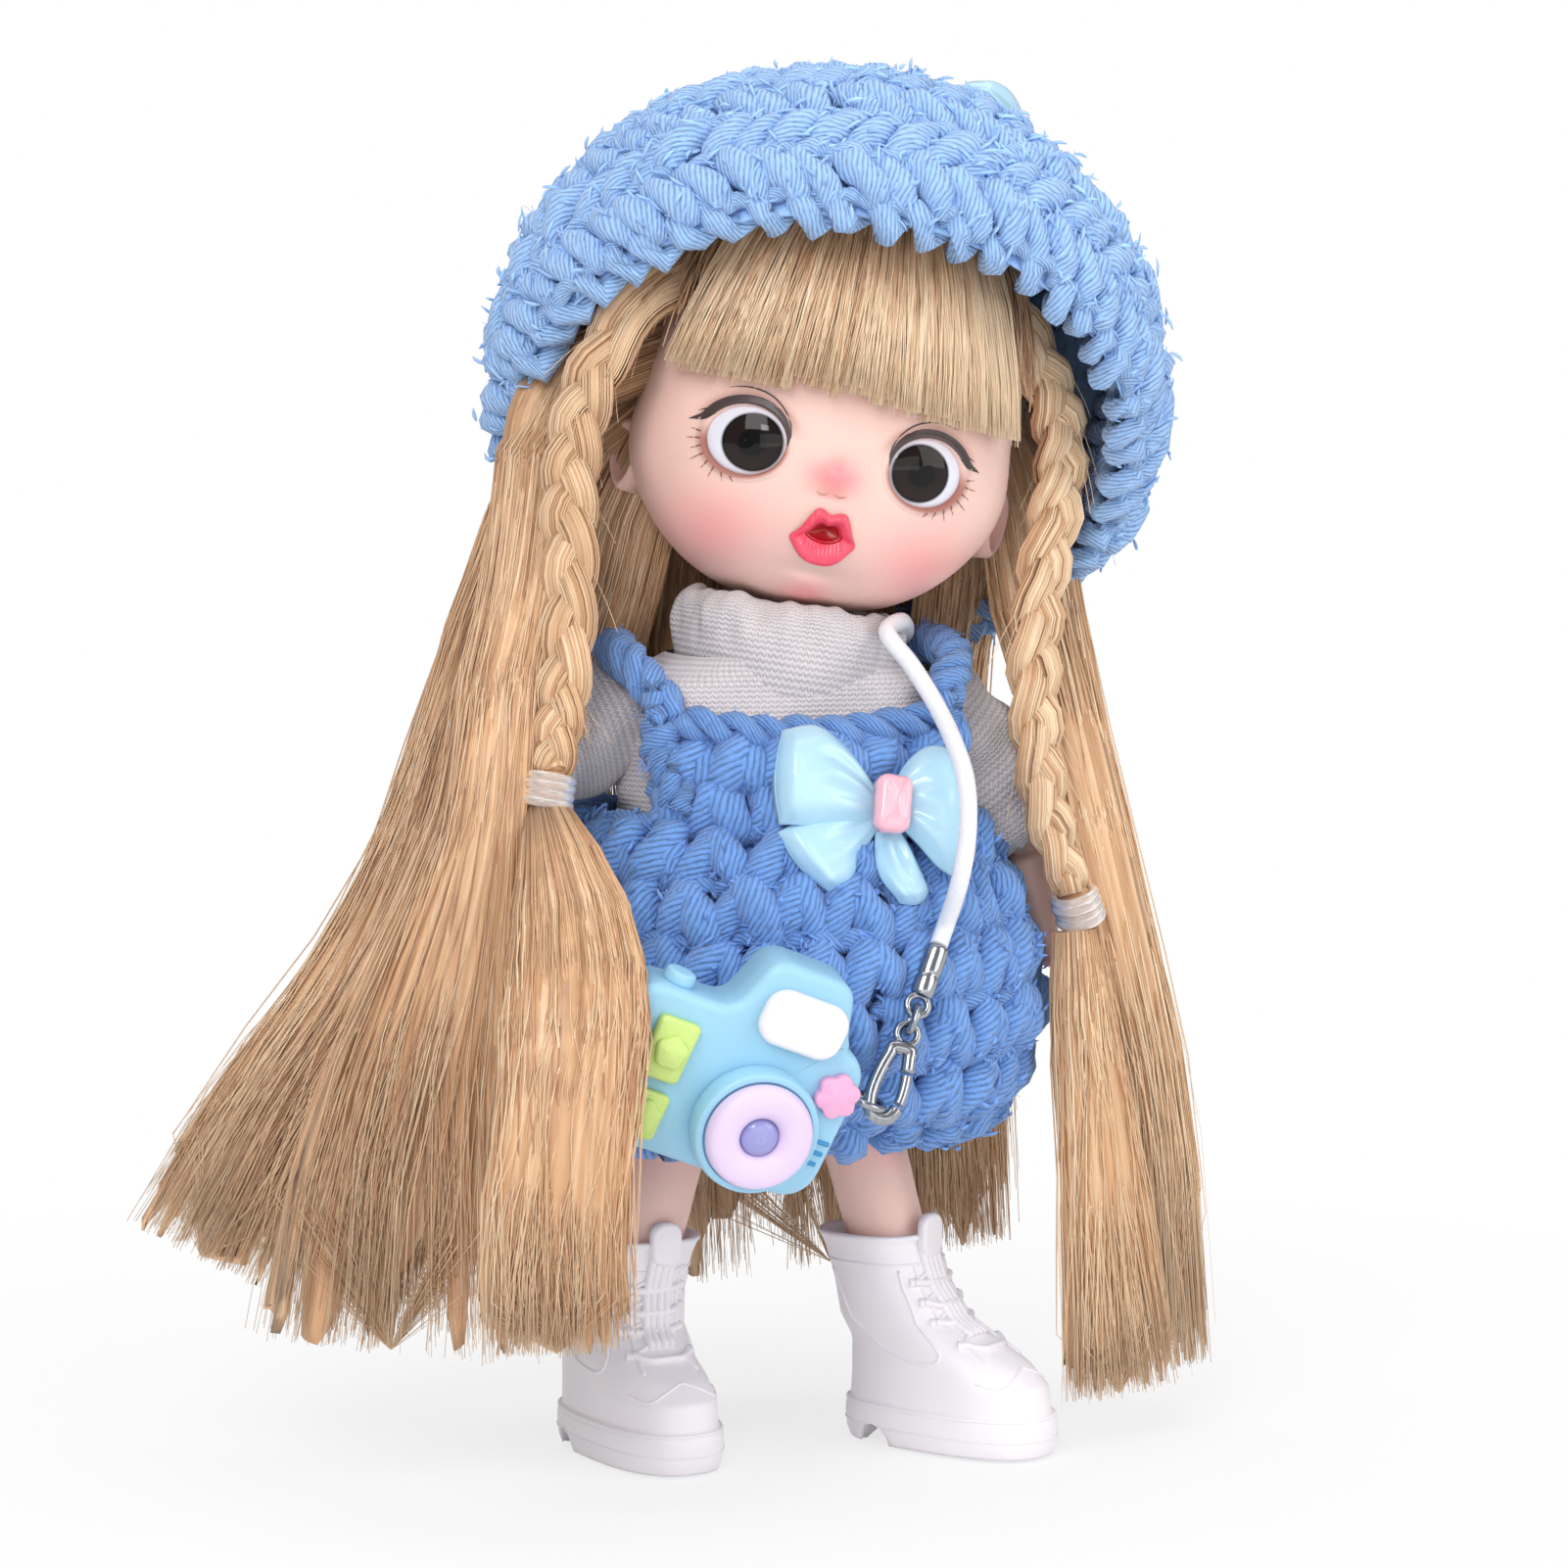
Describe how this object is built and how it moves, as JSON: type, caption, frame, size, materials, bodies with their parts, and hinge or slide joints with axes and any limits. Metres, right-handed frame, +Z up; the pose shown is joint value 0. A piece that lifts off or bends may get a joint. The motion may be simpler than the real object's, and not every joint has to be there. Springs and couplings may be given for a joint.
{
  "type": "jointed doll",
  "caption": "Standing jointed plastic doll with long hair, crocheted hat and pinafore, knit jumper, boots and a toy camera on a cord, to pose and dress.",
  "frame": {"origin": "on the floor under the middle of the doll's box, cord left out", "axes": "+Z up from the soles to the hat, the doll faces -Y and its right side is at -X"},
  "size_m": [0.1394, 0.0892, 0.1696],
  "materials": {
    "skin": "soft satin plastic",
    "hair": "glossy nylon fibre",
    "hat_yarn": "crocheted light blue yarn",
    "dress_yarn": "crocheted blue yarn",
    "knit": "fine white knit",
    "boot": "satin white plastic",
    "bow": "gloss pale blue resin",
    "knot": "gloss pink resin",
    "camera_blue": "gloss blue resin",
    "camera_green": "gloss green resin",
    "camera_lilac": "gloss lilac resin",
    "camera_white": "gloss white resin",
    "eye": "clear gloss over dark brown",
    "cord": "smooth white cord",
    "steel": "bright plated metal",
    "elastic": "clear elastic"
  },
  "bodies": {
    "torso": {"torso_front": "skin", "torso_back": "skin", "hip_axle": "steel", "sweater_body": "knit", "sweater_collar": "knit", "dress_bib": "dress_yarn", "dress_skirt": "dress_yarn", "chest_bow": "bow", "chest_bow_knot": "knot", "camera_strap": "cord", "plain_cord_end": "steel", "clasp_cord_end": "steel", "clasp_jump_ring": "steel", "clasp_body": "steel"},
    "neck": {"neck_post": "skin"},
    "head": {"head_shell": "skin", "right_eye": "eye", "left_eye": "eye", "hair_cap": "hair", "bangs": "hair", "right_braid": "hair", "left_braid": "hair", "right_braid_tie": "elastic", "left_braid_tie": "elastic", "right_braid_tail": "hair", "left_braid_tail": "hair", "right_side_hair": "hair", "right_outer_hair": "hair", "right_inner_hair": "hair", "left_side_hair": "hair", "left_inner_hair": "hair", "back_hair": "hair"},
    "hat": {"hat": "hat_yarn", "hat_bow": "bow"},
    "right_shoulder": {"right_shoulder_peg": "skin"},
    "right_arm": {"right_upper_arm": "skin", "right_sleeve": "knit"},
    "right_hand": {"right_forearm": "skin"},
    "left_shoulder": {"left_shoulder_peg": "skin"},
    "left_arm": {"left_upper_arm": "skin", "left_sleeve": "knit"},
    "left_hand": {"left_forearm": "skin"},
    "right_leg": {"right_thigh": "skin"},
    "right_foot": {"right_shin": "skin", "right_boot": "boot"},
    "left_leg": {"left_thigh": "skin"},
    "left_foot": {"left_shin": "skin", "left_boot": "boot"},
    "camera": {"camera_body": "camera_blue", "lens_ring": "camera_lilac", "lens_glass": "camera_lilac", "shutter_button": "camera_blue", "upper_green_button": "camera_green", "lower_green_button": "camera_green", "flower_button": "knot", "flash_window": "camera_white", "right_lug_ring": "steel", "left_lug_ring": "steel"},
    "lever": {"clasp_lever": "steel"}
  },
  "joints": [
    {"name": "neck_turn", "type": "hinge", "parent": "torso", "child": "neck", "pos_m": [0.01126, 0.00183, 0.09718], "axis": [0.165, 0, 0.9863], "range_deg": [-25, 25], "deforming": ["right_braid", "left_braid", "right_braid_tie", "left_braid_tie", "right_braid_tail", "left_braid_tail", "right_side_hair", "right_outer_hair", "right_inner_hair", "left_side_hair", "left_inner_hair", "back_hair", "sweater_collar"]},
    {"name": "head_nod", "type": "hinge", "parent": "neck", "child": "head", "pos_m": [0.0139, 0.00183, 0.11296], "axis": [0.9728, -0.165, -0.1628], "range_deg": [-2, 10]},
    {"name": "hat_lift", "type": "slide", "parent": "head", "child": "hat", "axis": [0.2318, 0.6974, 0.6781], "range_m": [0, 0.045]},
    {"name": "right_shoulder_swing", "type": "hinge", "parent": "torso", "child": "right_shoulder", "pos_m": [-0.00924, 0.00183, 0.09118], "axis": [1, 0, 0], "range_deg": [-40, 40]},
    {"name": "right_shoulder_raise", "type": "hinge", "parent": "right_shoulder", "child": "right_arm", "pos_m": [-0.00924, 0.00183, 0.09118], "axis": [0, 0.9903, -0.1392], "range_deg": [-20, 20], "deforming": ["right_sleeve"]},
    {"name": "right_elbow_bend", "type": "hinge", "parent": "right_arm", "child": "right_hand", "pos_m": [-0.02851, 0.00086, 0.08424], "axis": [0, 0.9903, -0.1392], "range_deg": [-40, 25]},
    {"name": "left_shoulder_swing", "type": "hinge", "parent": "torso", "child": "left_shoulder", "pos_m": [0.02976, 0.00183, 0.09118], "axis": [1, 0, 0], "range_deg": [-40, 35]},
    {"name": "left_shoulder_raise", "type": "hinge", "parent": "left_shoulder", "child": "left_arm", "pos_m": [0.02976, 0.00183, 0.09118], "axis": [0, -0.9945, -0.1045], "range_deg": [0, 45], "deforming": ["left_sleeve"]},
    {"name": "left_elbow_bend", "type": "hinge", "parent": "left_arm", "child": "left_hand", "pos_m": [0.04238, 0.00352, 0.07511], "axis": [0, -0.9945, -0.1045], "range_deg": [-3, 60]},
    {"name": "right_hip_swing", "type": "hinge", "parent": "torso", "child": "right_leg", "pos_m": [0.00096, 0.00183, 0.05468], "axis": [1, 0, 0], "range_deg": [-30, 12]},
    {"name": "right_knee_bend", "type": "hinge", "parent": "right_leg", "child": "right_foot", "pos_m": [-0.00297, 0.00442, 0.03834], "axis": [0.9443, 0.2731, -0.1835], "range_deg": [0, 45]},
    {"name": "left_hip_swing", "type": "hinge", "parent": "torso", "child": "left_leg", "pos_m": [0.01956, 0.00183, 0.05468], "axis": [1, 0, 0], "range_deg": [-30, 12]},
    {"name": "left_knee_bend", "type": "hinge", "parent": "left_leg", "child": "left_foot", "pos_m": [0.02163, 0.00242, 0.03782], "axis": [0.7808, 0.6136, 0.1173], "range_deg": [0, 45]},
    {"name": "camera_swing", "type": "hinge", "parent": "torso", "child": "camera", "pos_m": [-0.00464, -0.03167, 0.0542], "axis": [0.9272, 0.0906, -0.3635], "range_deg": [-35, 3]},
    {"name": "clasp_lever", "type": "hinge", "parent": "torso", "child": "lever", "pos_m": [0.01853, -0.02865, 0.04992], "axis": [0, 0.9426, -0.3338], "range_deg": [-20, 0], "stiffness_Nm_per_rad": 0.002}
  ]
}
